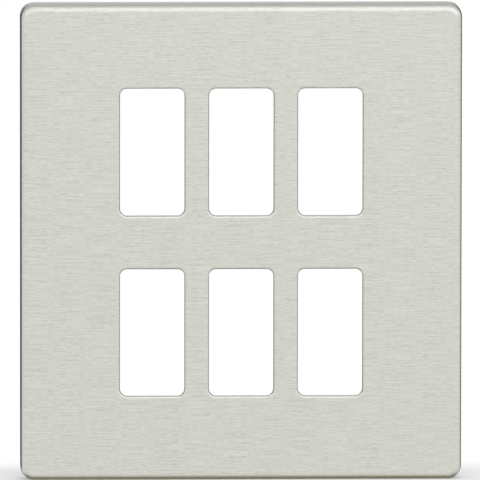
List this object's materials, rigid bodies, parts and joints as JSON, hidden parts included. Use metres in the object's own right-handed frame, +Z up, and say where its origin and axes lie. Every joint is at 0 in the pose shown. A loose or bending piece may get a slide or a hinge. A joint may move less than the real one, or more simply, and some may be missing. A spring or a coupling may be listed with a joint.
{
  "type": "switch plate",
  "caption": "Brushed metal wall switch cover plate: a shallow pressed tray with rounded corners and a grid of upright windows, lined by a moulded frame with clip-on hooks.",
  "frame": {"origin": "middle of the rim that meets the wall, in the wall plane", "axes": "seen from the front, +X is right and +Z is up; +Y goes into the wall, and the brushed face looks along -Y"},
  "size_m": [0.12, 0.0075, 0.13],
  "materials": {
    "brushed_sheet": "satin, brushed along the plate's width",
    "frame_moulding": "fine even texture from the mould"
  },
  "bodies": {
    "root": {"front_plate": "brushed_sheet", "clip_frame": "frame_moulding"}
  },
  "joints": []
}
